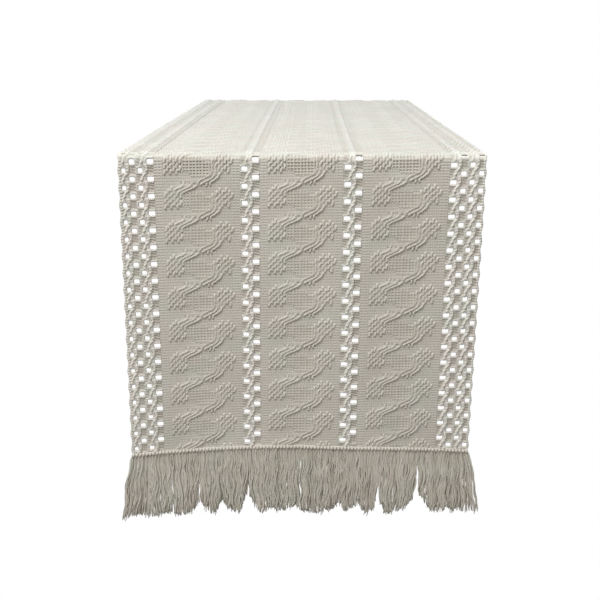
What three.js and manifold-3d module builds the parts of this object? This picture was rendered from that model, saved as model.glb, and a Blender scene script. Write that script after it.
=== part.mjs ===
// Openwork table runner: a long cotton cloth of seven side-by-side bands, laid along a table so
// that it hangs down at the front and just over the far edge, with a corded hem and a fringe at
// each end. Millimetres, +Z up. The origin is the centre of the underside of the part that lies
// on the table, X runs across the runner and the long front drop hangs at -Y.
import * as THREE from 'three';
import { mergeGeometries, mergeVertices } from 'three/addons/utils/BufferGeometryUtils.js';
import Module from 'manifold-3d';

const wasm = await Module();
wasm.setup();

// Widths of the bands, from one edge of the runner to the other
const EDGE_LACE_WIDTH = 30.0;
const SIDE_PANEL_WIDTH = 71.3;
const INNER_LACE_WIDTH = 16.6;
const CENTRE_PANEL_WIDTH = 69.2;

// Lengths along the cloth
const TOP_LENGTH = 640;
const FRONT_DROP = 264;
const BACK_DROP = 14;
const FRINGE_LENGTH = 62;

// Thicknesses and small parts
const CLOTH_THICKNESS = 3.5;
const HEM_RADIUS = 2.6;
const FRINGE_THICKNESS = 3.2;
const FRINGE_BUNDLES = 8;
const TIP_LENGTH = 9;
const TIP_TAPER = 5;

// The lace: rows of holes, where every other column of holes sits half a row lower
const ROW_PITCH = 14.4;
const HOLE_WIDTH = 4.8;
const HOLE_HEIGHT = 3.9;
const EDGE_COLUMNS = 4;
const INNER_COLUMNS = 2;
const OUTER_CORD = 2.1;
const INNER_CORD = 1.0;
const ROW_MARGIN = 2.4;
const FIRST_ROW = 8.6;
const CUT_DEPTH = 1;

// Clearances between neighbouring pieces
const SEAM_GAP = 0.3;
const BUNDLE_GAP = 0.8;

// Facets on the round pieces
const HEM_SIDES = 12;
const FOLD_STEPS = 5;

// Each band with its columns of holes, and the solid cords left at its two sides
const BANDS = [
  { name: 'left_edge_lace', width: EDGE_LACE_WIDTH, columns: EDGE_COLUMNS,
    left: OUTER_CORD, right: INNER_CORD },
  { name: 'left_panel', width: SIDE_PANEL_WIDTH, columns: 0 },
  { name: 'left_inner_lace', width: INNER_LACE_WIDTH, columns: INNER_COLUMNS,
    left: INNER_CORD, right: INNER_CORD },
  { name: 'centre_panel', width: CENTRE_PANEL_WIDTH, columns: 0 },
  { name: 'right_inner_lace', width: INNER_LACE_WIDTH, columns: INNER_COLUMNS,
    left: INNER_CORD, right: INNER_CORD },
  { name: 'right_panel', width: SIDE_PANEL_WIDTH, columns: 0 },
  { name: 'right_edge_lace', width: EDGE_LACE_WIDTH, columns: EDGE_COLUMNS,
    left: INNER_CORD, right: OUTER_CORD },
];
const RUNNER_WIDTH = BANDS.reduce((sum, band) => sum + band.width, 0);
const HALF_TOP = TOP_LENGTH / 2;

const cotton = new THREE.MeshStandardMaterial({ color: 0xd8d4c8, roughness: 0.95, metalness: 0 });
const yarn = new THREE.MeshStandardMaterial({ color: 0xcabfae, roughness: 0.95, metalness: 0 });

function named(name, geometry, material) {
  const mesh = new THREE.Mesh(geometry, material);
  mesh.name = name;
  return mesh;
}

// A solid for cutting, from a geometry that is closed once its shared corners are merged.
function toSolid(geometry) {
  geometry.deleteAttribute('normal');
  geometry.deleteAttribute('uv');
  const merged = mergeVertices(geometry);
  return new wasm.Manifold(new wasm.Mesh({
    numProp: 3,
    vertProperties: merged.attributes.position.array,
    triVerts: new Uint32Array(merged.index.array),
  }));
}

function toGeometry(solid) {
  const mesh = solid.getMesh();
  const geometry = new THREE.BufferGeometry();
  geometry.setAttribute('position', new THREE.BufferAttribute(mesh.vertProperties, mesh.numProp));
  geometry.setIndex(new THREE.BufferAttribute(mesh.triVerts, 1));
  const flat = geometry.toNonIndexed();
  flat.computeVertexNormals();
  return flat;
}

// A box by its two ends in x and y, with the cloth's thickness plus extra at each face.
function block(left, right, low, high, extra) {
  const box = new THREE.BoxGeometry(right - left, high - low, CLOTH_THICKNESS + 2 * extra);
  return box.translate((left + right) / 2, (low + high) / 2, CLOTH_THICKNESS / 2);
}

// The holes of a lace band, in columns spread evenly between its side cords. Rows step down from
// the table edge at y = length and stop short of the other end.
function laceHoles(band, length) {
  const holes = [];
  const first = band.left + HOLE_WIDTH / 2;
  const last = band.width - band.right - HOLE_WIDTH / 2;
  for (let column = 0; column < band.columns; column += 1) {
    const x = first + ((last - first) * column) / (band.columns - 1);
    const start = FIRST_ROW + (column % 2) * (ROW_PITCH / 2);
    const room = length - start - HOLE_HEIGHT / 2 - ROW_MARGIN;
    const rows = Math.floor(room / ROW_PITCH) + 1;
    for (let row = 0; row < rows; row += 1) {
      const y = length - start - row * ROW_PITCH;
      const [left, right] = [x - HOLE_WIDTH / 2, x + HOLE_WIDTH / 2];
      holes.push(block(left, right, y - HOLE_HEIGHT / 2, y + HOLE_HEIGHT / 2, CUT_DEPTH));
    }
  }
  return holes;
}

// One band of cloth from y = 0 to y = length, with the seam gap taken off its long sides and any
// lace holes cut through it.
function bandGeometry(band, length) {
  const slab = block(SEAM_GAP / 2, band.width - SEAM_GAP / 2, 0, length, 0);
  const holes = laceHoles(band, length);
  if (holes.length === 0) {
    return slab;
  }
  return toGeometry(toSolid(slab).subtract(toSolid(mergeGeometries(holes))));
}

// Seven bands side by side in the XY plane, centred across X, from y = 0 to y = length.
function bandGeometries(length) {
  let left = -RUNNER_WIDTH / 2;
  return BANDS.map((band) => {
    const geometry = bandGeometry(band, length).translate(left, 0, 0);
    left += band.width;
    return { name: band.name, geometry };
  });
}

function topSection() {
  const group = new THREE.Group();
  for (const band of bandGeometries(TOP_LENGTH)) {
    group.add(named(`${band.name}_top`, band.geometry, cotton));
  }
  group.position.set(0, -HALF_TOP, 0);
  return group;
}

// A drop hangs just outside its table edge. side is -1 at the front and +1 at the back.
function dropSection(side, end, length) {
  const group = new THREE.Group();
  for (const band of bandGeometries(length)) {
    band.geometry.rotateX(Math.PI / 2);
    group.add(named(`${band.name}_${end}`, band.geometry, cotton));
  }
  const innerFace = side * (HALF_TOP + SEAM_GAP);
  group.position.set(0, side > 0 ? innerFace + CLOTH_THICKNESS : innerFace, -SEAM_GAP - length);
  return group;
}

// A profile drawn as (outwards, up), carried the whole width of the runner.
function acrossRunner(profile, side) {
  const geometry = new THREE.ExtrudeGeometry(profile, {
    depth: RUNNER_WIDTH,
    bevelEnabled: false,
    curveSegments: FOLD_STEPS,
  });
  geometry.translate(0, 0, -RUNNER_WIDTH / 2);
  const outwards = new THREE.Vector3(0, side, 0);
  const up = new THREE.Vector3(0, 0, 1);
  const along = new THREE.Vector3(side, 0, 0);
  return geometry.applyMatrix4(new THREE.Matrix4().makeBasis(outwards, up, along));
}

// The bend of the cloth over the table edge: a quarter round of the cloth's own thickness.
function fold(side, end) {
  const profile = new THREE.Shape();
  profile.moveTo(0, 0);
  profile.lineTo(CLOTH_THICKNESS, 0);
  profile.absarc(0, 0, CLOTH_THICKNESS, 0, Math.PI / 2, false);
  const mesh = named(`${end}_fold`, acrossRunner(profile, side), cotton);
  mesh.position.set(0, side * (HALF_TOP + SEAM_GAP), 0);
  return mesh;
}

// Where the hem cord's centre line runs below a drop of the given length.
function hemCentre(side, length) {
  const y = side * (HALF_TOP + SEAM_GAP + CLOTH_THICKNESS / 2);
  const z = -SEAM_GAP - length - SEAM_GAP - HEM_RADIUS;
  return new THREE.Vector3(0, y, z);
}

// The corded hem: a round cord across the end of the cloth.
function hem(side, end, length) {
  const geometry = new THREE.CylinderGeometry(HEM_RADIUS, HEM_RADIUS, RUNNER_WIDTH, HEM_SIDES);
  geometry.rotateZ(Math.PI / 2);
  const mesh = named(`${end}_hem`, geometry, cotton);
  mesh.position.copy(hemCentre(side, length));
  return mesh;
}

// One bundle of fringe yarn: a flat tail with its two bottom corners tapered off.
function bundleGeometry(width) {
  const outline = new THREE.Shape([
    new THREE.Vector2(0, 0),
    new THREE.Vector2(0, TIP_LENGTH - FRINGE_LENGTH),
    new THREE.Vector2(TIP_TAPER, -FRINGE_LENGTH),
    new THREE.Vector2(width - TIP_TAPER, -FRINGE_LENGTH),
    new THREE.Vector2(width, TIP_LENGTH - FRINGE_LENGTH),
    new THREE.Vector2(width, 0),
  ]);
  const geometry = new THREE.ExtrudeGeometry(outline, {
    depth: FRINGE_THICKNESS,
    bevelEnabled: false,
  });
  geometry.rotateX(Math.PI / 2);
  return geometry.translate(0, FRINGE_THICKNESS / 2, 0);
}

// The fringe hangs from the hem cord and swings about that cord's centre line.
function fringe(side, end, length) {
  const group = new THREE.Group();
  const pitch = RUNNER_WIDTH / FRINGE_BUNDLES;
  for (let i = 0; i < FRINGE_BUNDLES; i += 1) {
    const bundle = bundleGeometry(pitch - BUNDLE_GAP);
    bundle.translate(-RUNNER_WIDTH / 2 + i * pitch + BUNDLE_GAP / 2, 0, -HEM_RADIUS - SEAM_GAP);
    group.add(named(`${end}_fringe_${i + 1}`, bundle, yarn));
  }
  group.position.copy(hemCentre(side, length));
  return group;
}

const runner = new THREE.Group();
runner.add(topSection());
for (const [side, end, length] of [[-1, 'front', FRONT_DROP], [1, 'back', BACK_DROP]]) {
  runner.add(fold(side, end));
  runner.add(dropSection(side, end, length));
  runner.add(hem(side, end, length));
  runner.add(fringe(side, end, length));
}

export default runner;
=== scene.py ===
"""An openwork cotton table runner, laid over a table with a long front drop and a fringe at each end.

Lengths are in metres. X runs across the runner, Z is up, and the cloth is drawn in its own flat
measures first: x across it and p along it, with p = 0 at the middle of the front bend, negative
down the front drop and positive along the table.
"""

import math

import bpy
import numpy as np
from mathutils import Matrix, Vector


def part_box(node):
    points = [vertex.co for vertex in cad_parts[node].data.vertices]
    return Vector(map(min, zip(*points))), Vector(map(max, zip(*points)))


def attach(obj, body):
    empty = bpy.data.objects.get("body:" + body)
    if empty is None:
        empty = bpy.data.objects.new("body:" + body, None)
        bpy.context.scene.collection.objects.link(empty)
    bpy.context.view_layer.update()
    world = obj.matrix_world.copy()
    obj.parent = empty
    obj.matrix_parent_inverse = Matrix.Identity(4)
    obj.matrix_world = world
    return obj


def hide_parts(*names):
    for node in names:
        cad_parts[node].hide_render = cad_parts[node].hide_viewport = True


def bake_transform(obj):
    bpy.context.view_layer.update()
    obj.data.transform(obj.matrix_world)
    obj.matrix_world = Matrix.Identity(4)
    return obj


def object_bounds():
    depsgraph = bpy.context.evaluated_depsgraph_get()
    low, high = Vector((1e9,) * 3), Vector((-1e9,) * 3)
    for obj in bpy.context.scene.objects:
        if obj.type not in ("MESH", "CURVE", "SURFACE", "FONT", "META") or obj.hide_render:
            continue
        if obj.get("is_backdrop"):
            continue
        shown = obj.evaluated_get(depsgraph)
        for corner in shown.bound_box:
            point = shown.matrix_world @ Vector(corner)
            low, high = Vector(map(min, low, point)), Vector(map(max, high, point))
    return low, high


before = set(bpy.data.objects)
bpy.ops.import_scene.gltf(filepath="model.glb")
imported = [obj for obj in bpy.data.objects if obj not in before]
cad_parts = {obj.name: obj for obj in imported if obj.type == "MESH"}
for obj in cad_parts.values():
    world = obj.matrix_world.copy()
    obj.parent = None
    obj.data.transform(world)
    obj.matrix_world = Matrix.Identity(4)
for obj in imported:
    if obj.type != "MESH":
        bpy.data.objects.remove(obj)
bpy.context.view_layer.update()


# ---------------------------------------------------------------- camera, light and floor
# A camera a little above table height in front of the drop, a key light high in front that grazes
# the drop and picks out its relief, a weak wide light over the top, and a pale floor well below.

CAMERA_ASIDE = 0.0104
CAMERA_AWAY = 0.7415
CAMERA_ABOVE = 0.0927
CAMERA_DIP = 16.42
CAMERA_TURN = 0.84
front_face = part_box("centre_panel_front")[0][1]
cloth_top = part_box("centre_panel_top")[1][2]

camera = bpy.data.cameras.new("camera")
camera.sensor_width = 36.0
camera.lens = 53.93
camera.clip_start = 0.01
camera.clip_end = 50.0
camera_object = bpy.data.objects.new("camera", camera)
camera_object.location = (CAMERA_ASIDE, front_face - CAMERA_AWAY, cloth_top + CAMERA_ABOVE)
camera_object.rotation_euler = (math.radians(90 - CAMERA_DIP), 0.0, math.radians(CAMERA_TURN))
bpy.context.scene.collection.objects.link(camera_object)
bpy.context.scene.camera = camera_object
bpy.context.scene.view_settings.view_transform = "Standard"


def area_light(name, place, aim, size, watts, colour):
    """A square light at place that faces the point aim."""
    light = bpy.data.lights.new(name, "AREA")
    light.size = size
    light.energy = watts
    light.color = colour
    thing = bpy.data.objects.new(name, light)
    thing.location = place
    way = np.array(aim, float) - np.array(place, float)
    flat = math.hypot(way[0], way[1])
    thing.rotation_euler = (math.atan2(flat, -way[2]), 0.0, math.atan2(way[1], way[0]) - math.pi / 2)
    bpy.context.scene.collection.objects.link(thing)


area_light("key", (-0.45, -1.15, 1.6), (0, -0.25, -0.05), 0.7, 28.0, (0.975, 0.985, 1.0))
area_light("overhead", (0.2, 0.5, 1.7), (0, 0.1, 0), 1.2, 9.6, (0.55, 0.77, 1.0))

FLOOR_DEPTH = 0.75
FLOOR_HALF = 9
floor_mesh = bpy.data.meshes.new("floor")
floor_sides = ((-1, -1), (1, -1), (1, 1), (-1, 1))
floor_corners = [(i * FLOOR_HALF, j * FLOOR_HALF, -FLOOR_DEPTH) for i, j in floor_sides]
floor_mesh.from_pydata(floor_corners, [], [(0, 1, 2, 3)])
floor = bpy.data.objects.new("floor", floor_mesh)
bpy.context.scene.collection.objects.link(floor)
floor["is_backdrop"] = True


def seen_white(tree, shader_type, seen, unseen):
    """One emission or background that is bright where it is looked at and dimmer as a light."""
    nodes, links = tree.nodes, tree.links
    nodes.clear()
    rays = nodes.new("ShaderNodeLightPath")
    levels = nodes.new("ShaderNodeMapRange")
    levels.inputs["To Min"].default_value = unseen
    levels.inputs["To Max"].default_value = seen
    glow = nodes.new(shader_type)
    glow.inputs["Color"].default_value = (1, 1, 1, 1)
    links.new(rays.outputs["Is Camera Ray"], levels.inputs["Value"])
    links.new(levels.outputs["Result"], glow.inputs["Strength"])
    return glow


floor_paint = bpy.data.materials.new("pale floor")
floor_paint.use_nodes = True
tree = floor_paint.node_tree
glow = seen_white(tree, "ShaderNodeEmission", 1.0, 0.26)
tree.links.new(glow.outputs[0], tree.nodes.new("ShaderNodeOutputMaterial").inputs["Surface"])
floor_mesh.materials.append(floor_paint)

world = bpy.data.worlds.new("studio")
world.use_nodes = True
bpy.context.scene.world = world
tree = world.node_tree
glow = seen_white(tree, "ShaderNodeBackground", 1.0, 0.51)
tree.links.new(glow.outputs[0], tree.nodes.new("ShaderNodeOutputWorld").inputs["Surface"])


# ---------------------------------------------------------------- how the cloth lies
# One cloth, 305 mm wide, laid over the table so that it bends at both edges. Its underside rests
# on the table; the long drop hangs a little unevenly, as hand-worked cotton does.

MM = 0.001
HALF_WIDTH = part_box("front_hem")[1][0]
FRONT_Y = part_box("centre_panel_front")[1][1]
BACK_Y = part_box("centre_panel_back")[0][1]
BEND_RADIUS = 3.0 * MM
BEND_HALF = BEND_RADIUS * math.pi / 4
FLAT_LENGTH = BACK_Y - FRONT_Y - 2 * BEND_RADIUS
BACK_BEND = FLAT_LENGTH + 2 * BEND_HALF
HEM_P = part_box("centre_panel_front")[0][2] + BEND_RADIUS - BEND_HALF
BACK_HEM_P = BACK_BEND + BEND_HALF - BEND_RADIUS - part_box("centre_panel_back")[0][2]
SETTLED = 0.3
HANG_DEPTH = 0.26
ROW_SLANT = 0.019
SAG_LEFT = 8.3 * MM
SAG_RIGHT = 1.4 * MM
MIDDLE_DROP = 257.2 * MM
TUCK = 0.6 * MM


def sag(x):
    """How far the rows of the front drop sag at x: a power of the share of the way to each edge."""
    left = np.clip(-x / HALF_WIDTH, 0, 1.1) ** 1.7
    right = np.clip(x / HALF_WIDTH, 0, 1.1) ** 1.9
    return SAG_LEFT * left + SAG_RIGHT * right


def lay(x, p, rise):
    """Lays flat cloth on the table and returns its points.

    The length s is p with the rows slanted a little, which a smooth step takes away again along
    the table, less the sag, which grows as a power of the depth. s then runs up the front drop,
    round a quarter circle, along the table, round another quarter circle and down. rise is
    measured along the cloth's outward normal. The front drop also leans a little to the left on
    its way down, and swells in and out by two sine waves across that grow with depth.
    """
    depth = np.clip(p / HEM_P, 0, 1.2)
    along = np.clip(p / SETTLED, 0, 1)
    settle = 1 - along**2 * (3 - 2 * along)
    s = p + ROW_SLANT * x * settle - sag(x) * depth**1.6
    turn_in = np.clip((s + BEND_HALF) / BEND_RADIUS, 0, math.pi / 2)
    turn_out = np.clip((s - BACK_BEND + BEND_HALF) / BEND_RADIUS, 0, math.pi / 2)
    y = FRONT_Y + BEND_RADIUS * (1 - np.cos(turn_in)) + np.clip(s - BEND_HALF, 0, FLAT_LENGTH)
    y = y + BEND_RADIUS * np.sin(turn_out)
    z = np.minimum(s + BEND_HALF, 0) - BEND_RADIUS + BEND_RADIUS * np.sin(turn_in)
    z = z - BEND_RADIUS * (1 - np.cos(turn_out)) - np.maximum(s - BACK_BEND - BEND_HALF, 0)
    heading = math.pi / 2 - turn_in - turn_out
    hang = np.clip(-z / HANG_DEPTH, 0, 1.3)
    ripple = 1.3 * MM * np.sin(x / 0.031 + 0.8) * hang
    swell = ripple + 2.0 * MM * np.sin(x / 0.09 + 2.0) * hang**2
    y = y - rise * np.sin(heading) - swell * np.sin(heading)
    z = z + rise * np.cos(heading)
    lean = (0.8 * MM - 1.6 * MM * depth) * settle
    return np.stack(np.broadcast_arrays(x + lean, y, z), axis=-1)


def end_p(x, section):
    """Where the cloth ends at x. The front hem hangs in its own shallow curve, a power of the share
    of the way to each edge and lower at the left corner than at the right; taking the slant and
    sag of the rows back off it gives p."""
    if section == "back":
        return np.full_like(x, BACK_HEM_P)
    left = np.clip(-x / HALF_WIDTH, 0, 1.1)
    right = np.clip(x / HALF_WIDTH, 0, 1.1)
    s = -MIDDLE_DROP - (10.4 * left**1.5 + 5.2 * right**1.1) * MM
    return s - ROW_SLANT * x + sag(x)


def put_mesh(name, points, rings, flat_xy, relief):
    """A mesh from points and lists of equal-sided faces, with its flat measures as the UV map
    in millimetres and its relief, 0 in the hollows and 1 on the crests, as a point attribute."""
    mesh = bpy.data.meshes.new(name)
    points = points.reshape(-1, 3)
    corners = np.concatenate([ring.ravel() for ring in rings]).astype(np.int32)
    sides = np.concatenate([np.full(len(ring), ring.shape[1]) for ring in rings]).astype(np.int32)
    mesh.vertices.add(len(points))
    mesh.vertices.foreach_set("co", points.astype(np.float32).ravel())
    mesh.loops.add(len(corners))
    mesh.loops.foreach_set("vertex_index", corners)
    mesh.polygons.add(len(sides))
    starts = np.concatenate([[0], np.cumsum(sides)[:-1]]).astype(np.int32)
    mesh.polygons.foreach_set("loop_start", starts)
    mesh.polygons.foreach_set("loop_total", sides)
    mesh.polygons.foreach_set("use_smooth", np.ones(len(sides), bool))
    mesh.update(calc_edges=True)
    uv = mesh.uv_layers.new(name="cloth")
    uv.data.foreach_set("uv", (flat_xy.reshape(-1, 2)[corners] / MM).astype(np.float32).ravel())
    mesh.attributes.new("relief", "FLOAT", "POINT")
    mesh.attributes["relief"].data.foreach_set("value", relief.astype(np.float32).ravel())
    thing = bpy.data.objects.new(name, mesh)
    bpy.context.scene.collection.objects.link(thing)
    return thing


# ---------------------------------------------------------------- cotton
# Undyed cotton cord, plied and a little hairy. Its hollows are painted a warmer, deeper tone as shade
# and its crests a lighter one as light;
# the yarn's plies show as fine slanting ridges, their tops painted lighter too, and the colour wanders
# slightly along the cloth.


def group_socket(group, name, way, kind, value=None):
    """One named input or output of a node group, with its usual value where it has one."""
    socket = group.interface.new_socket(name=name, in_out=way, socket_type=kind)
    if value is not None:
        socket.default_value = value


def make_plied_yarn():
    """Plies as slanted waves in the flat measures, roughened by fine noise: height from 0 to 1."""
    group = bpy.data.node_groups.new("plied yarn", "ShaderNodeTree")
    group_socket(group, "Ply", "INPUT", "NodeSocketFloat", 0.8)
    group_socket(group, "Slant", "INPUT", "NodeSocketFloat", 0.6)
    group_socket(group, "Hair", "INPUT", "NodeSocketFloat", 0.4)
    group_socket(group, "Height", "OUTPUT", "NodeSocketFloat")
    nodes, links = group.nodes, group.links
    given = nodes.new("NodeGroupInput")
    result = nodes.new("NodeGroupOutput")
    flat = nodes.new("ShaderNodeUVMap")
    flat.uv_map = "cloth"
    split = nodes.new("ShaderNodeSeparateXYZ")
    links.new(flat.outputs["UV"], split.inputs[0])
    lean = nodes.new("ShaderNodeMath")
    lean.operation = "MULTIPLY_ADD"
    links.new(split.outputs["Y"], lean.inputs[0])
    links.new(given.outputs["Slant"], lean.inputs[1])
    links.new(split.outputs["X"], lean.inputs[2])
    wobble = nodes.new("ShaderNodeTexNoise")
    wobble.inputs["Scale"].default_value = 0.9
    wobble.inputs["Detail"].default_value = 1.0
    links.new(flat.outputs["UV"], wobble.inputs["Vector"])
    shifted = nodes.new("ShaderNodeMath")
    shifted.operation = "MULTIPLY_ADD"
    shifted.inputs[1].default_value = 0.7
    links.new(wobble.outputs["Fac"], shifted.inputs[0])
    links.new(lean.outputs[0], shifted.inputs[2])
    turns = nodes.new("ShaderNodeMath")
    turns.operation = "DIVIDE"
    links.new(shifted.outputs[0], turns.inputs[0])
    links.new(given.outputs["Ply"], turns.inputs[1])
    fold = nodes.new("ShaderNodeMath")
    fold.operation = "PINGPONG"
    fold.inputs[1].default_value = 0.5
    links.new(turns.outputs[0], fold.inputs[0])
    hair = nodes.new("ShaderNodeTexNoise")
    hair.inputs["Scale"].default_value = 4.0
    hair.inputs["Detail"].default_value = 3.0
    hair.inputs["Roughness"].default_value = 0.65
    links.new(flat.outputs["UV"], hair.inputs["Vector"])
    fuzz = nodes.new("ShaderNodeMath")
    fuzz.operation = "MULTIPLY"
    links.new(hair.outputs["Fac"], fuzz.inputs[0])
    links.new(given.outputs["Hair"], fuzz.inputs[1])
    height = nodes.new("ShaderNodeMath")
    height.operation = "MULTIPLY_ADD"
    height.inputs[1].default_value = 1.2
    links.new(fold.outputs[0], height.inputs[0])
    links.new(fuzz.outputs[0], height.inputs[2])
    links.new(height.outputs[0], result.inputs["Height"])
    return group


def make_cotton_tone():
    """The cotton's colour: the deep tone in the hollows as painted shade, the light tone on the
    crests and ply tops as painted light, both wandering by broad noise, patched by a faint change
    of hue and speckled by fine noise, with the roughness that goes with it."""
    group = bpy.data.node_groups.new("cotton tone", "ShaderNodeTree")
    group_socket(group, "Crest", "INPUT", "NodeSocketColor", (0.8, 0.78, 0.72, 1))
    group_socket(group, "Hollow", "INPUT", "NodeSocketColor", (0.5, 0.45, 0.38, 1))
    group_socket(group, "Wander", "INPUT", "NodeSocketFloat", 0.1)
    group_socket(group, "Plies", "INPUT", "NodeSocketFloat", 0.5)
    group_socket(group, "Colour", "OUTPUT", "NodeSocketColor")
    group_socket(group, "Roughness", "OUTPUT", "NodeSocketFloat")
    nodes, links = group.nodes, group.links
    given = nodes.new("NodeGroupInput")
    result = nodes.new("NodeGroupOutput")
    relief = nodes.new("ShaderNodeAttribute")
    relief.attribute_name = "relief"
    spot = nodes.new("ShaderNodeTexCoord")
    broad = nodes.new("ShaderNodeTexNoise")
    broad.inputs["Scale"].default_value = 22.0
    broad.inputs["Detail"].default_value = 3.0
    links.new(spot.outputs["Object"], broad.inputs["Vector"])
    fine = nodes.new("ShaderNodeTexNoise")
    fine.inputs["Scale"].default_value = 900.0
    fine.inputs["Detail"].default_value = 2.0
    links.new(spot.outputs["Object"], fine.inputs["Vector"])
    # Painted light and shade: the relief and the plies' height choose between the shaded hollow tone
    # and the lit crest tone.
    painted_light_share = nodes.new("ShaderNodeMath")
    painted_light_share.operation = "MULTIPLY_ADD"
    painted_light_share.inputs[1].default_value = 0.22
    painted_light_share.use_clamp = True
    links.new(given.outputs["Plies"], painted_light_share.inputs[0])
    links.new(relief.outputs["Fac"], painted_light_share.inputs[2])
    tone = nodes.new("ShaderNodeMix")
    tone.data_type = "RGBA"
    links.new(painted_light_share.outputs[0], tone.inputs["Factor"])
    links.new(given.outputs["Hollow"], tone.inputs[6])
    links.new(given.outputs["Crest"], tone.inputs[7])
    both = nodes.new("ShaderNodeMath")
    both.operation = "MULTIPLY_ADD"
    both.inputs[1].default_value = 0.5
    links.new(fine.outputs["Fac"], both.inputs[0])
    links.new(broad.outputs["Fac"], both.inputs[2])
    level = nodes.new("ShaderNodeMapRange")
    level.inputs["From Min"].default_value = 0.45
    level.inputs["From Max"].default_value = 1.05
    level.inputs["To Min"].default_value = 1.0
    level.inputs["To Max"].default_value = 0.0
    links.new(both.outputs[0], level.inputs["Value"])
    dim = nodes.new("ShaderNodeMath")
    dim.operation = "MULTIPLY"
    links.new(level.outputs["Result"], dim.inputs[0])
    links.new(given.outputs["Wander"], dim.inputs[1])
    wander = nodes.new("ShaderNodeMix")
    wander.data_type = "RGBA"
    wander.blend_type = "MULTIPLY"
    wander.inputs[7].default_value = (0.45, 0.40, 0.32, 1)
    links.new(dim.outputs[0], wander.inputs["Factor"])
    links.new(tone.outputs[2], wander.inputs[6])
    patches = nodes.new("ShaderNodeTexNoise")
    patches.inputs["Scale"].default_value = 34.0
    patches.inputs["Detail"].default_value = 1.5
    links.new(spot.outputs["Object"], patches.inputs["Vector"])
    reach = nodes.new("ShaderNodeMapRange")
    reach.inputs["From Min"].default_value = 0.35
    reach.inputs["From Max"].default_value = 0.65
    links.new(patches.outputs["Fac"], reach.inputs["Value"])
    hue = nodes.new("ShaderNodeMix")
    hue.data_type = "RGBA"
    hue.inputs[6].default_value = (1.0, 0.965, 0.95, 1)
    hue.inputs[7].default_value = (0.965, 0.985, 0.955, 1)
    links.new(reach.outputs["Result"], hue.inputs["Factor"])
    dyed = nodes.new("ShaderNodeMix")
    dyed.data_type = "RGBA"
    dyed.blend_type = "MULTIPLY"
    dyed.inputs["Factor"].default_value = 1.0
    links.new(wander.outputs[2], dyed.inputs[6])
    links.new(hue.outputs[2], dyed.inputs[7])
    links.new(dyed.outputs[2], result.inputs["Colour"])
    rough = nodes.new("ShaderNodeMapRange")
    rough.inputs["To Min"].default_value = 0.98
    rough.inputs["To Max"].default_value = 0.84
    links.new(relief.outputs["Fac"], rough.inputs["Value"])
    links.new(rough.outputs["Result"], result.inputs["Roughness"])
    return group


plied_yarn = make_plied_yarn()
cotton_tone = make_cotton_tone()


def cotton(name, crest, hollow, wander, ply, slant, bump_depth, sheen):
    """A cotton material: the tone group for colour, with painted shade in the hollows and painted
    light on the crests, the yarn group for its fine relief and for painted light on the ply tops.
    """
    material = bpy.data.materials.new(name)
    material.use_nodes = True
    nodes, links = material.node_tree.nodes, material.node_tree.links
    shader = nodes["Principled BSDF"]
    shader.inputs["Specular IOR Level"].default_value = 0.25
    shader.inputs["Sheen Weight"].default_value = sheen
    shader.inputs["Sheen Roughness"].default_value = 0.55
    shader.inputs["Sheen Tint"].default_value = (1.0, 0.97, 0.92, 1)
    yarn = nodes.new("ShaderNodeGroup")
    yarn.node_tree = plied_yarn
    yarn.inputs["Ply"].default_value = ply
    yarn.inputs["Slant"].default_value = slant
    tone = nodes.new("ShaderNodeGroup")
    tone.node_tree = cotton_tone
    tone.inputs["Crest"].default_value = (*crest, 1)
    tone.inputs["Hollow"].default_value = (*hollow, 1)
    tone.inputs["Wander"].default_value = wander
    bump = nodes.new("ShaderNodeBump")
    bump.inputs["Distance"].default_value = bump_depth
    bump.inputs["Strength"].default_value = 0.8
    links.new(yarn.outputs["Height"], bump.inputs["Height"])
    links.new(yarn.outputs["Height"], tone.inputs["Plies"])
    links.new(tone.outputs["Colour"], shader.inputs["Base Color"])
    links.new(tone.outputs["Roughness"], shader.inputs["Roughness"])
    links.new(bump.outputs["Normal"], shader.inputs["Normal"])
    return material


# ---------------------------------------------------------------- cable panels
# Three close panels of cotton in rows. Every twelve rows six cords meet in a cable that leans up to
# the right, with a block of short slanting stitches at each end and windows of posts between.
# Here x is from the panel's middle and p from the cable's middle, both in millimetres.

ROW = 14.4 * MM / 6
REPEAT = 12 * ROW
CABLE_P = -18.2 * MM
TILE_HALF = 37.0 * MM
TILE_STEP = 0.2 * MM
GROUND = 1.25 * MM
PURL = 1.9
WINDOW_ROW = 2.5
SIDE_POSTS = (-32.4, -29.2, 29.2, 32.4)
MAJOR_POSTS = (-12.1, -6.3, -0.6, 4.8, 10.4)
MINOR_POSTS = (-9.2, -3.4, 2.1, 7.6)
LEFT_CORDS = [
    [(-19.4, -9.6), (-19.2, -7.0), (-17.2, -5.5), (-14.2, -4.6), (-12.2, -3.6), (-11.2, -2.2)],
    [(-16.8, -12), (-16.6, -9.8), (-14.8, -8.0), (-12, -6.6), (-8.8, -5.1), (-6, -3.9), (-4.7, -2.6)],
    [(-13.9, -13), (-13.7, -10.4), (-11.8, -8.8), (-8.5, -7.4), (-5.2, -6), (-2.4, -4.8), (-0.2, -3.2)],
]
RIGHT_CORDS = [
    [(0.2, -2.4), (0.7, -0.6), (2.8, 1.3), (5.8, 2.6), (8.8, 4.0), (11.2, 5.6), (12.6, 8.4)],
    [(3.2, -2.2), (4.6, -1.5), (7.6, 0.1), (10.6, 1.6), (13.2, 3.3), (15.2, 5.5), (15.8, 8.3)],
    [(10.8, -3.0), (11.1, -1.3), (13.0, 0.2), (15.4, 1.8), (17.7, 3.7), (19.0, 6.5)],
]
LOW_CORDS = [
    [(12.6, 8.4), (12.8, 11.5), (12.6, 17.4)],
    [(15.8, 8.3), (15.2, 11.2), (16.6, 14.6)],
    [(-11.2, -2.2), (-11.0, -0.8)],
    [(-4.7, -2.6), (-4.4, -1.2)],
    [(7.8, -3.4), (7.7, -2.0)],
]
PITS = [(-13.1, -1.5), (-9.7, -1.3), (-6.5, -1.4), (-2.1, -2.0)]
PITS += [(6.2, -2.3), (9.3, -3.2), (12.5, -1.6)]


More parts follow.
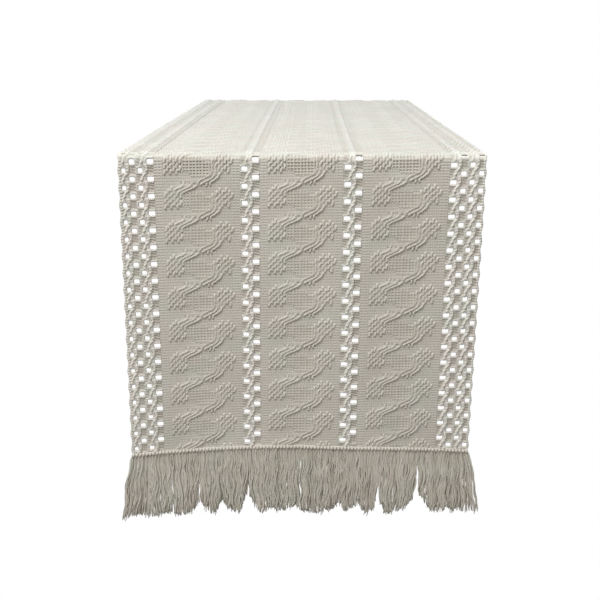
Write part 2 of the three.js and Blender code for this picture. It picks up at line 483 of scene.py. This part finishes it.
def raise_cord(height, x, p, points, radius, lift):
    """Raises the surface to a cord through the points: lift plus a half round of this radius,
    measured from the nearest part of the line and nicked by its plies, a slanting cosine."""
    nearest = np.full(height.shape, 1e9)
    for (ax, ap), (bx, bp) in zip(points[:-1], points[1:]):
        dx, dp = bx - ax, bp - ap
        part = np.clip(((x - ax) * dx + (p - ap) * dp) / (dx * dx + dp * dp), 0, 1)
        nearest = np.minimum(nearest, (x - ax - part * dx) ** 2 + (p - ap - part * dp) ** 2)
    round_top = np.sqrt(np.clip(radius**2 - nearest, 0, None))
    round_top = round_top * (1 + 0.16 * np.cos(2 * np.pi * (x - 0.5 * p) / 2.3))
    return np.maximum(height, np.where(round_top > 0, lift + round_top, 0))


def block_stitches():
    """The middles of the stitches in the two blocks: upright columns in brick order, each column
    stopping where the cable's cords take over."""
    middles = []
    for column, top in enumerate((-9.5, -6.5, -5.5, -12.0, -14.0, -16.0)):
        rows = np.arange(-20.4 + 2.4 * (column % 2), top, 4.8)
        middles += [(-26.8 + 2.57 * column, p) for p in rows]
    for column, (low, high) in enumerate(((17, 20), (11, 22), (8, 20), (11, 22), (8, 20), (15, 19))):
        rows = np.arange(8.9 + 2.4 * (column % 2), high, 4.8)
        middles += [(16.0 + 2.6 * column, p) for p in rows if p > low]
    return middles


def bells(x, places, width):
    """Bell curves of x round the places, added together."""
    return sum(np.exp(-(((x - at) / width) ** 2)) for at in places)


def tile_relief():
    """One repeat of the panel: its height above the ground in metres, and its local relief.

    The plain rows are rounded ridges, one every ROW, crossed by fine upright columns, one every
    PURL; at the panel's two sides two wider posts cross them instead. The windows hold taller
    rows, one every WINDOW_ROW, and major and minor posts that stand above these. The ground
    swells along the cable and under the two blocks by bell curves; their cords and stitches are
    half rounds over it, and small pits mark the crossing. Local relief, which the cotton paints as
    shade in the hollows and light on the crests, is about a half plus two thirds of the height less
    its average over a few millimetres, and a little less in the windows, painted darker as shade.
    """
    x = np.arange(-TILE_HALF, TILE_HALF + TILE_STEP / 2, TILE_STEP)[None, :] / MM
    p = np.arange(0, REPEAT, TILE_STEP)[:, None] / MM
    row, repeat = ROW / MM, REPEAT / MM
    x, p = np.broadcast_arrays(x, p)
    ridge = np.abs(np.sin(np.pi * p / row)) ** 0.8
    purl = np.abs(np.sin(np.pi * x / PURL))
    height = 0.42 * (0.4 + 0.6 * ridge) * (0.15 + 0.85 * purl)
    posts = np.clip(bells(x, SIDE_POSTS, 0.7), 0, 1)
    side = np.clip((np.abs(x) - 28.2) / 0.8, 0, 1)
    height = height * (1 - side) + side * 0.42 * np.maximum(ridge, 0.9 * posts)
    long_row = np.abs(np.sin(np.pi * (p - 3.65) / WINDOW_ROW))
    major = bells(x, MAJOR_POSTS, 0.85)
    minor = bells(x, MINOR_POSTS, 0.6)
    low = 2.8 + 4.2 * np.clip((-4.6 - x) / 2.0, 0, 1)
    high = 20.2 - 3.6 * np.clip((x - 4.6) / 2.0, 0, 1)
    window = np.clip((12.6 - np.abs(x)) / 0.8, 0, 1)
    window = window * np.clip((p - low) / 1.2, 0, 1) * np.clip((high - p) / 1.2, 0, 1)
    rows = np.maximum(0.66 * long_row, np.maximum(major, 0.84 * minor)) - 0.1
    height = height * (1 - window) + window * rows
    for turn in (-repeat, 0.0, repeat):
        here = p - turn
        along = here - 0.42 * x
        height = height + 0.75 * np.exp(-((along / 4.6) ** 2) - (x / 20.0) ** 6)
        for way in (1, -1):
            apart = ((way * x - 20.2) / 8.6) ** 2 + ((way * here - 13.2) / 8.6) ** 2
            height = height + 0.24 * np.exp(-apart)
        for mx, mp in block_stitches():
            ends = [(mx - 0.3, mp - 1.45), (mx + 0.3, mp + 1.45)]
            height = raise_cord(height, x, here, ends, 1.0, 0.32)
        for cords, radius, lift in (
            (LOW_CORDS, 0.95, 0.5),
            (LEFT_CORDS, 1.0, 0.46),
            (RIGHT_CORDS, 1.02, 0.44),
        ):
            for cord in cords:
                height = raise_cord(height, x, here, cord, radius, lift)
        for px, pp in PITS:
            height = height - 0.75 * np.exp(-(((x - px) ** 2 + (here - pp) ** 2) / 0.8))
    reach = range(-6, 7)
    mean = height
    for axis in (0, 1):
        mean = sum(np.roll(mean, k, axis=axis) for k in reach) / len(reach)
    # Local relief is painted light on the crests and painted shade in the hollows; the windows get
    # painted shade.
    return np.stack([height * MM, np.clip(0.53 + 0.66 * (height - mean) - 0.1 * window, 0, 1)])


CABLE_TILE = tile_relief()


def from_tile(x, p):
    """The panel's height and relief at x from its middle and p along it, read between the
    tile's points in proportion to the distance from each."""
    across = np.clip((x + TILE_HALF) / TILE_STEP, 0, CABLE_TILE.shape[2] - 1.001)
    rows = CABLE_TILE.shape[1]
    along = ((p - CABLE_P) % REPEAT) / REPEAT * rows
    i, j = np.floor(along).astype(int), np.floor(across).astype(int)
    a, b = along - i, across - j
    k, i = (i + 1) % rows, i % rows
    low = CABLE_TILE[:, i, j] * (1 - b) + CABLE_TILE[:, i, j + 1] * b
    high = CABLE_TILE[:, k, j] * (1 - b) + CABLE_TILE[:, k, j + 1] * b
    return low * (1 - a) + high * a


CUT_FRONT = 5 * ROW
CUT_BACK = math.floor((BACK_BEND - 12 * MM) / ROW) * ROW
SECTIONS = {
    "front": (HEM_P - TUCK, CUT_FRONT),
    "top": (CUT_FRONT, CUT_BACK),
    "back": (CUT_BACK, BACK_HEM_P + TUCK),
}
OVERLAP = 0.35 * MM
PANEL_STRETCH = 40 * MM


def meet_end(x, p, start, stretch):
    """p moved so that a front drop's end follows end_p, less and less over the length stretch.
    Cloth that starts on the table stays as it is."""
    if start >= 0:
        return p
    share = np.clip(1 - (p - start) / stretch, 0, 1)
    return p + share * (end_p(x, "front") - TUCK - start)


def panel(name, middle, width, start, end, step_x, step_p):
    """A closed panel: a relief grid on top, a third as many points underneath, and a rim. Round
    the front bend the gaps between rows open and deepen, and the painted shade in them and the
    painted light on the crests grow, by a bell curve of p. The surface comes down at the two
    selvages, and the underside is ribbed by a sine."""
    cells_x = 3 * round(width / step_x / 3)
    cells_p = 3 * round((end - start) / step_p / 3)
    x = np.linspace(-width / 2, width / 2, cells_x + 1)[None, :]
    p = np.linspace(start, end, cells_p + 1)[:, None]
    x, p = np.broadcast_arrays(x, p)
    p = meet_end(x + middle, p, start, PANEL_STRETCH)
    height, crests = from_tile(x, p)
    opened = np.exp(-(((p + 5 * MM) / (10 * MM)) ** 2))
    height = height - 1.6 * MM * opened * np.clip(0.45 - crests, 0, 1)
    # Round the bend the hollows get more painted shade and the crests more painted light.
    crests = np.clip(crests + opened * (1.3 * (crests - 0.5) + 0.12), 0, 1)
    selvage = np.clip((width / 2 - np.abs(x)) / (1.6 * MM), 0, 1)
    height = height * selvage + (1 - selvage) * 0.35 * MM
    top = lay(x + middle, p, GROUND + height)
    under_x, under_p = x[::3, ::3], p[::3, ::3]
    rib = 0.22 * MM * np.abs(np.sin(np.pi * under_p / (2 * ROW)))
    under = lay(under_x + middle, under_p, rib)
    ny, nx = x.shape
    my, mx = under_x.shape
    ids = np.arange(ny * nx).reshape(ny, nx)
    low = ny * nx + np.arange(my * mx).reshape(my, mx)
    quads = np.stack([ids[:-1, :-1], ids[:-1, 1:], ids[1:, 1:], ids[1:, :-1]], -1).reshape(-1, 4)
    below = np.stack([low[:-1, :-1], low[1:, :-1], low[1:, 1:], low[:-1, 1:]], -1).reshape(-1, 4)
    rims = []
    for line, base in (
        (ids[0], low[0]),
        (ids[:, -1], low[:, -1]),
        (ids[-1, ::-1], low[-1, ::-1]),
        (ids[::-1, 0], low[::-1, 0]),
    ):
        rims.append(
            np.stack([line[3::3], line[2::3], line[1::3], line[:-1:3], base[:-1], base[1:]], -1)
        )
    top_flat = np.stack([x + middle, p], -1).reshape(-1, 2)
    under_flat = np.stack([under_x + middle, under_p], -1).reshape(-1, 2)
    flat = np.concatenate([top_flat, under_flat])
    relief = np.concatenate([crests.ravel(), np.full(under_x.size, 0.5)])
    points = np.concatenate([top.reshape(-1, 3), under.reshape(-1, 3)])
    return put_mesh(name, points, [quads, below, np.concatenate(rims)], flat, relief)


panel_cotton = cotton(
    "panel cotton", (0.84, 0.81, 0.745), (0.52, 0.465, 0.38), 0.18, 0.75, 0.55, 0.25 * MM, 0.15
)


def fasten(piece, section):
    """A piece of cloth on the table is attached to the top; any other piece has its transform baked
    into its points.
    """
    if section == "top":
        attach(piece, "top")
    elif section == "front":
        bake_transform(piece)
    else:
        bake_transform(piece)


STEPS = {"front": (0.5 * MM, ROW / 5), "top": (0.9 * MM, ROW / 3), "back": (0.9 * MM, ROW / 3)}
cloth = {}
for band in ("left_panel", "centre_panel", "right_panel"):
    low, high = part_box(f"{band}_top")
    middle, width = (low[0] + high[0]) / 2, high[0] - low[0] + 2 * OVERLAP
    for section, (start, end) in SECTIONS.items():
        piece = panel(f"{band}_{section}_cloth", middle, width, start, end, *STEPS[section])
        piece.data.materials.append(panel_cotton)
        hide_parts(f"{band}_{section}")
        fasten(piece, section)
        cloth[band, section] = piece
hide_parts("front_fold")
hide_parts("back_fold")


# ---------------------------------------------------------------- lace bands
# Openwork of the same cotton. The holes stand in columns that alternate by half a row; between
# them the web is short stitches, sunk in squares, and a raised cord winds past each pair of
# columns. Columns are given by their middle and the width of their holes, in millimetres.

HALF_ROW = 7.2 * MM
LACE_P = -8.2 * MM
HOLE_TALL = 3.9 * MM
LACE_COLUMNS = {
    "left_edge_lace": [(-148.0, 3.5), (-141.0, 4.8), (-134.0, 4.3), (-125.5, 6.0)],
    "left_inner_lace": [(-47.4, 5.2), (-38.3, 5.9)],
    "right_inner_lace": [(38.5, 5.7), (47.7, 5.9)],
    "right_edge_lace": [(126.0, 5.7), (134.3, 4.8), (141.4, 4.5), (148.8, 4.2)],
}
CORD_BENDS = [(-4.6, -11.8), (-4.3, -8.8), (-3.5, -6.2), (-1.9, -4.2)]
CORD_BENDS += [(-0.5, -2.3), (0, 0), (0, 2.5), (-0.2, 4.3)]
LOOP_BENDS = [(-2.0, -10.6), (-1.4, -8.0), (-1.5, -6.0)]
EDGE_CORD = 151.2
CORNER_PULL = 0.11


def spaced(breaks, counts):
    """Grid lines through every break, with the counted number of equal cells in each gap."""
    lines = [np.linspace(a, b, n + 1)[:-1] for a, b, n in zip(breaks[:-1], breaks[1:], counts)]
    return np.concatenate([*lines, breaks[-1:]])


def lace_relief(x, p, columns):
    """The lace's height above its base and its local relief at x and p, in millimetres.

    The web is knotted rows, sunk a little in a square where its column has no hole, and painted
    darker there as shade. Each hole has a low half-round rim, measured from its rectangle. From
    under each left hole of a pair a raised cord winds up to the right of it, swelling with its
    stitches, with a short loop beside it; the outer edge is a finer cord. The relief returned is
    the share of painted light against painted shade.
    """
    tall, whole = HOLE_TALL / MM, 2 * HALF_ROW / MM
    knots = np.abs(np.sin(np.pi * (p + 0.25 * x) / 2.4)) ** 0.8
    knots = knots * (0.45 + 0.55 * np.abs(np.sin(np.pi * (x + 0.3 * p) / 2.3)))
    height = 0.35 + 0.75 * knots
    dark = np.zeros_like(height)
    for column, (centre, wide) in enumerate(columns):
        first = LACE_P / MM + (column % 2) * whole / 2
        along = (p - first + whole / 2) % whole - whole / 2
        beside = np.abs(x - centre) - wide / 2
        off = np.maximum(beside, np.abs(along) - tall / 2)
        rim = np.sqrt(np.clip(1 - ((off - 0.7) / 0.9) ** 2, 0, None))
        rim = rim * (1 + 0.15 * np.cos(2 * np.pi * (p + x) / 2.1))
        height = np.maximum(height, 0.4 + 0.95 * rim)
        across = np.clip((0.4 - beside) / 0.8, 0, 1)
        pocket = across * np.clip((whole / 2 - 4.1 - np.abs(np.abs(along) - whole / 2)) / 0.8, 0, 1)
        height = height - 0.3 * pocket
        dark = np.maximum(dark, pocket)
    for right, _ in columns[1::2]:
        for turn in (-whole, 0, whole):
            along = (p - LACE_P / MM + whole / 2) % whole - whole / 2 + turn
            beside = x - (right - 3.3)
            knot = 0.13 * np.cos(2 * np.pi * (along - 0.6 * beside) / 2.6)
            cord = raise_cord(np.zeros_like(height), beside, along, CORD_BENDS, 1.3, 0.95)
            height = np.maximum(height, cord * (1 + knot))
            height = raise_cord(height, beside, along, LOOP_BENDS, 1.0, 0.8)
    edge = np.abs(np.abs(x) - EDGE_CORD)
    cord = np.sqrt(np.clip(1 - (edge / 1.2) ** 2, 0, None))
    cord = cord * (1.7 + 0.35 * np.cos(2 * np.pi * p / 2.4))
    height = np.maximum(height, cord)
    # Local relief is painted light on the crests and painted shade in the hollows; the sunk squares get
    # more painted shade.
    return height, np.clip(0.25 + 0.42 * height - 0.16 * dark, 0, 1)


def lines_across(left, right, columns, cell):
    """Grid lines from left to right that run along both sides of every column's holes."""
    breaks, counts = [left], []
    for x, wide in columns:
        gap = x * MM - wide * MM / 2 - breaks[-1]
        counts += [max(1, round(gap / cell)), max(3, round(wide * MM / cell))]
        breaks += [x * MM - wide * MM / 2, x * MM + wide * MM / 2]
    counts.append(max(1, round((right - breaks[-1]) / cell)))
    breaks.append(right)
    return spaced(np.array(breaks), counts)


def lines_along(start, end, hole_rows, hole_cells, web_cells):
    """Grid lines from start to end that run along the top and bottom of every hole."""
    web = HALF_ROW - HOLE_TALL
    breaks, counts = [start], []
    for row in hole_rows:
        centre = LACE_P + row * HALF_ROW
        rest = centre - HOLE_TALL / 2 - breaks[-1]
        counts += [max(1, round(rest / web * web_cells)), hole_cells]
        breaks += [centre - HOLE_TALL / 2, centre + HOLE_TALL / 2]
    counts.append(max(1, round((end - breaks[-1]) / web * web_cells)))
    breaks.append(end)
    return spaced(np.array(breaks), counts)


def nearest_row(p, odd):
    """The half row nearest to p among the even ones, or among the odd ones."""
    return 2 * np.round(((p - LACE_P) / HALF_ROW - odd) / 2) + odd


def lace(name, left, right, columns, start, end, hole_cells, web_cells, cell):
    """A closed openwork band on a grid whose lines run along the sides of every hole.

    Cells inside a hole are left out and its wall closed, with the hole's corners drawn in a
    little to round it. The outer edge is scalloped by a cosine along p. Where the cloth doesn't
    hang in front its painted light and shade are scaled down, so its crests take less of the light
    tone.
    """
    x_lines = lines_across(left, right, columns, cell)
    hangs = start < 0
    if hangs:
        start = end_p(x_lines, "front").mean() - TUCK
    first = math.ceil((start + 2.4 * MM - LACE_P) / HALF_ROW)
    last = math.floor((end - 2.3 * MM - LACE_P) / HALF_ROW)
    p_lines = lines_along(start, end, range(first, last + 1), hole_cells, web_cells)
    x, p = np.meshgrid(x_lines, p_lines)
    p = meet_end(x, p, start, LACE_P + first * HALF_ROW - HOLE_TALL / 2 - start)
    height, crests = lace_relief(x / MM, p / MM, columns)
    # Off the drop the relief's painted light and shade are scaled down.
    if not hangs:
        crests = 0.7 * crests
    push_x, push_p = np.zeros_like(x), np.zeros_like(x)
    middle_x = (x_lines[1:] + x_lines[:-1]) / 2
    middle_p = (p_lines[1:] + p_lines[:-1]) / 2
    keep = np.ones((len(middle_p), len(middle_x)), bool)
    for column, (centre, wide) in enumerate(columns):
        odd = column % 2
        u = (x / MM - centre) / (wide / 2)
        v = (p - LACE_P - nearest_row(p, odd) * HALF_ROW) / (HOLE_TALL / 2)
        outside = np.clip(np.maximum(abs(u), abs(v)) - 1, 0, 9)
        pull = np.clip(u * u * v * v, 0, 1) * np.exp(-4 * outside)
        push_x -= CORNER_PULL * pull * u * wide / 2 * MM
        push_p -= CORNER_PULL * pull * v * HOLE_TALL / 2
        row = nearest_row(middle_p, odd)
        inside_p = np.abs(middle_p - LACE_P - row * HALF_ROW) < HOLE_TALL / 2
        inside_p &= (row >= first) & (row <= last)
        inside_x = np.abs(middle_x / MM - centre) < wide / 2
        keep &= ~(inside_p[:, None] & inside_x[None, :])
    scallop = 0.5 * MM * np.cos(math.pi * (p - LACE_P) / HALF_ROW)
    if left < -HALF_WIDTH + 2 * MM:
        push_x -= scallop * np.clip(1 - (x - left) / (3 * MM), 0, 1)
    if right > HALF_WIDTH - 2 * MM:
        push_x -= scallop * np.clip(1 - (right - x) / (3 * MM), 0, 1)
    height = height * MM
    top = lay(x + push_x, p + push_p, 0.75 * MM + height)
    under = lay(x + push_x, p + push_p, 0.45 * MM - 0.2 * height)
    ny, nx = x.shape
    ids = np.arange(ny * nx).reshape(ny, nx)
    j, i = np.nonzero(keep)
    quads = np.stack([ids[j, i], ids[j, i + 1], ids[j + 1, i + 1], ids[j + 1, i]], -1)
    below = quads[:, ::-1] + ny * nx
    edges = np.concatenate([quads[:, [k, (k + 1) % 4]] for k in range(4)])
    key = edges.min(axis=1).astype(np.int64) * (ny * nx) + edges.max(axis=1)
    _, index, uses = np.unique(key, return_index=True, return_counts=True)
    rim = edges[index[uses == 1]]
    walls = np.stack([rim[:, 1], rim[:, 0], rim[:, 0] + ny * nx, rim[:, 1] + ny * nx], -1)
    rings = [quads, below, walls]
    used, packed = np.unique(np.concatenate([r.ravel() for r in rings]), return_inverse=True)
    points = np.concatenate([top.reshape(-1, 3), under.reshape(-1, 3)])[used]
    flat = np.tile(np.stack([x, p], -1).reshape(-1, 2), (2, 1))[used]
    relief = np.concatenate([crests.ravel(), 0.7 * crests.ravel()])[used]
    sizes = np.cumsum([r.size for r in rings])[:-1]
    rings = [part.reshape(-1, 4) for part in np.split(packed.ravel(), sizes)]
    return put_mesh(name, points, rings, flat, relief)


lace_cotton = cotton(
    "lace cotton", (0.89, 0.865, 0.80), (0.42, 0.37, 0.30), 0.2, 0.95, 0.8, 0.22 * MM, 0.15
)
LACE_CELLS = {"front": (8, 6, 0.56 * MM), "top": (4, 3, 0.9 * MM), "back": (4, 3, 0.9 * MM)}
for band, columns in LACE_COLUMNS.items():
    low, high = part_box(f"{band}_top")
    for section, (start, end) in SECTIONS.items():
        name = f"{band}_{section}_cloth"
        piece = lace(name, low[0], high[0], columns, start, end, *LACE_CELLS[section])
        piece.data.materials.append(lace_cotton)
        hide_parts(f"{band}_{section}")
        fasten(piece, section)
        cloth[band, section] = piece


# ---------------------------------------------------------------- hems
# A twined cord across each end: every turn of the cord stands as an upright bead, three
# millimetres from the next, and grips the fringe yarns that come out below it.

BEADS = 100
HEM_HALF = 2.2 * MM
WAIST = 0.42
BULGE = 0.58


def hem(name, section, sides, per_bead):
    """A tube carried across the cloth's end, whose oval section swells from a waist into a bead at
    every turn: its size follows a power of a sine along x, and the section leans with the twist."""
    count = BEADS * per_bead + 1
    x = np.linspace(-HALF_WIDTH + 0.2 * MM, HALF_WIDTH - 0.2 * MM, count)
    turn = np.linspace(0, BEADS, count)
    swell = WAIST + BULGE * np.abs(np.sin(np.pi * turn)) ** 0.7
    swell[0] = swell[-1] = 0.3
    outwards = 1 if section == "back" else -1
    middle = lay(x, end_p(x, section), np.full(count, 2.3 * MM))
    angle = 2 * np.pi * np.arange(sides) / sides
    lean = 0.3 * MM * np.sin(2 * np.pi * turn)[:, None] * np.sin(angle)
    out = outwards * HEM_HALF * swell[:, None] * np.cos(angle)
    up = (0.5 + 1.6 * swell[:, None]) * MM * np.sin(angle) - HEM_HALF
    points = middle[:, None, :] + np.stack([lean, out, up], axis=-1)
    ids = np.arange(count * sides).reshape(count, sides)
    after = np.roll(ids, -1, axis=1)
    quads = np.stack([ids[:-1], after[:-1], after[1:], ids[1:]], -1).reshape(-1, 4)
    caps = np.stack([ids[0, ::-1], ids[-1]])
    if outwards < 0:
        quads, caps = quads[:, ::-1], caps[:, ::-1]
    flat = np.stack(np.broadcast_arrays(x[:, None], 1.5 * MM * angle), -1)
    # Painted light and shade: the beads are lighter than the waists between them and the cord's upper
    # side lighter than its underside, as light from above falls on it.
    crest = ((swell - WAIST).clip(0, 1) / BULGE)[:, None] ** 1.5
    relief = np.broadcast_to(np.clip(crest + 0.3 * np.sin(angle) - 0.05, 0, 1), (count, sides))
    return put_mesh(name, points, [quads, caps], flat, relief)


hem_cotton = cotton(
    "hem cotton", (0.80, 0.76, 0.69), (0.34, 0.29, 0.225), 0.2, 0.8, 1.2, 0.25 * MM, 0.12
)
for end, detail in (("front", 8), ("back", 6)):
    piece = hem(f"{end}_hem_cord", end, 12, detail)
    piece.data.materials.append(hem_cotton)
    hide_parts(f"{end}_hem")
    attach(piece, f"{end}_drop")


# ---------------------------------------------------------------- fringes
# Loose cotton yarns, still crimped from the plying, hang several deep in a bundle from the hem.
# They lie together in locks that wave as one, so the ends are ragged; a few parts stay open. Each
# part is given by its place, its width, how far its yarns fall short and how far they lean away.

PARTS = [
    (-92, 5, 9, 0.4),
    (-72, 4, 8, 0.4),
    (-47, 5, 14, 1.0),
    (36, 4, 8, 0.3),
    (55, 4, 7, 0.3),
    (72, 4, 9, 2.2),
    (107, 9, 17, 2.4),
    (133, 4, 7, 0.4),
]
LOCK_WIDTH = 10.6
FRINGE_DROP = 62.0 * MM
BUNDLES = 8


def yarns(root_x, end, steps, sides, draw):
    """Loose yarns as thin tubes hanging from the hem.

    The locks are the stretches between the parts, split again every LOCK_WIDTH. All yarns of a
    lock share its wave, a sine along the fall, and its lean, and close a little on its middle
    towards the tips; each adds its own smaller crimp, a sine too, and its own length. Near a
    part the front fringe's tips lean away and fall short by that part's amounts, by a bell curve
    of the distance. The outermost yarns flare, by a high power of the distance from the middle.
    The yarns behind hang straighter. A yarn thins to half at its tip.
    """
    count = len(root_x)
    t = np.linspace(0, 1, steps)[None, :]
    root_x = root_x[:, None]
    parted = [place * MM for place, *_ in PARTS]
    bounds = np.sort(parted + [k * LOCK_WIDTH * MM for k in range(-15, 16)])
    lock = np.searchsorted(bounds, root_x)
    fixed = np.random.default_rng(7)
    share = fixed.uniform(-1, 1, (len(bounds) + 1, 5))[lock]
    lower, upper = np.clip(lock, 1, len(bounds)) - 1, np.clip(lock, 0, len(bounds) - 1)
    middle = (bounds[lower] + bounds[upper]) / 2
    depth = draw.uniform(-1, 1, (count, 1))
    length = FRINGE_DROP * (1 + 0.045 * share[..., 0] + draw.normal(0, 0.02, (count, 1)))
    front = np.clip(0.1 + depth, 0, 1)
    aside = (0.02 + 0.14 * front) * (middle - root_x) + 1.8 * MM * share[..., 2] * front
    for place, wide, tall, push in PARTS if end == "front" else []:
        near = np.exp(-(((root_x - place * MM) / (wide * MM)) ** 2))
        length = length - tall * MM * near
        aside = aside + np.sign(root_x - place * MM) * push * MM * near
    outer = np.clip(np.abs(root_x) / HALF_WIDTH, 0, 1) ** 12
    aside = aside + np.sign(root_x) * 13.0 * MM * outer
    swing = t ** (1.5 - 0.85 * outer)
    wave = (34 + 8 * share[..., 3]) * MM
    own = draw.uniform(12, 26, (count, 1)) * MM
    phase = draw.uniform(0, 2 * np.pi, (count, 1))
    crimp = draw.uniform(0.1, 0.5, (count, 1)) * MM
    fall = t * length
    loose = np.clip(fall / (14 * MM), 0, 1)
    x = root_x + aside * swing + draw.normal(0, 0.5, (count, 1)) * MM * t
    x = x + (0.3 + 0.9 * front) * MM * loose * np.sin(2 * np.pi * fall / wave + 3 * share[..., 4])
    x = x + crimp * loose * np.sin(2 * np.pi * fall / own + phase)
    roots = lay(root_x, end_p(root_x, end), np.full_like(root_x, 1.7 * MM))
    outwards = 1 if end == "back" else -1
    y = roots[..., 1] + outwards * (0.4 + (0.9 + 1.3 * t) * depth) * MM
    y = y + crimp * loose * np.cos(2 * np.pi * fall / own * 0.8 + 1.7 * phase)
    z = roots[..., 2] - 2.6 * MM - fall
    radius = draw.uniform(0.55, 0.76, (count, 1)) * MM * (1 - 0.5 * t**8)
    angle = 2 * np.pi * np.arange(sides) / sides
    x = x + roots[..., 0] - root_x
    points = np.zeros((count, steps, sides, 3))
    points[..., 0] = x[..., None] + radius[..., None] * np.cos(angle)
    points[..., 1] = y[..., None] + radius[..., None] * np.sin(angle)
    points[..., 2] = z[..., None]
    ids = np.arange(count * steps * sides).reshape(count, steps, sides)
    after = np.roll(ids, -1, axis=2)
    quads = np.stack([ids[:, 1:], after[:, 1:], after[:, :-1], ids[:, :-1]], -1).reshape(-1, 4)
    caps = np.concatenate([ids[:, 0], ids[:, -1, ::-1]])
    flat = np.stack(np.broadcast_arrays(radius[..., None] * angle, fall[..., None]), -1)
    flat = np.broadcast_to(flat, (count, steps, sides, 2)).copy()
    flat[..., 0] += root_x[..., None]
    # Each yarn's tone differs at random; the top seventh of each yarn, under the hem, is painted darker
    # as shade, most at the root.
    tone = draw.uniform(0.25, 1.0, (count, 1, 1)) * (0.5 + 0.5 * np.clip(t * 7, 0, 1))[..., None]
    relief = np.broadcast_to(tone, (count, steps, sides))
    return points, [quads, caps], flat, relief


fringe_cotton = cotton(
    "fringe cotton", (0.84, 0.80, 0.715), (0.62, 0.56, 0.47), 0.2, 0.55, 1.1, 0.2 * MM, 0.25
)
fringes = {"front": [], "back": []}
for end, per_bundle, steps in (("front", 150, 24), ("back", 110, 13)):
    draw = np.random.default_rng(41 if end == "front" else 42)
    for k in range(BUNDLES):
        low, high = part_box(f"{end}_fringe_{k + 1}")
        spread = (np.arange(per_bundle) + draw.uniform(0.1, 0.9, per_bundle)) / per_bundle
        root_x = low[0] + spread * (high[0] - low[0])
        piece = put_mesh(f"{end}_fringe_yarns_{k + 1}", *yarns(root_x, end, steps, 5, draw))
        piece.data.materials.append(fringe_cotton)
        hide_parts(f"{end}_fringe_{k + 1}")
        fringes[end].append(piece)
        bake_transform(piece)


# ---------------------------------------------------------------- the cloth's flat sizes
# Every band is a strip of the one cloth. Each band's box and span are read again, and the
# bounds of all shown parts but the floor are taken.

for (band, section), piece in cloth.items():
    low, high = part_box(f"{band}_top")
    start, end = SECTIONS[section]

low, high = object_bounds()
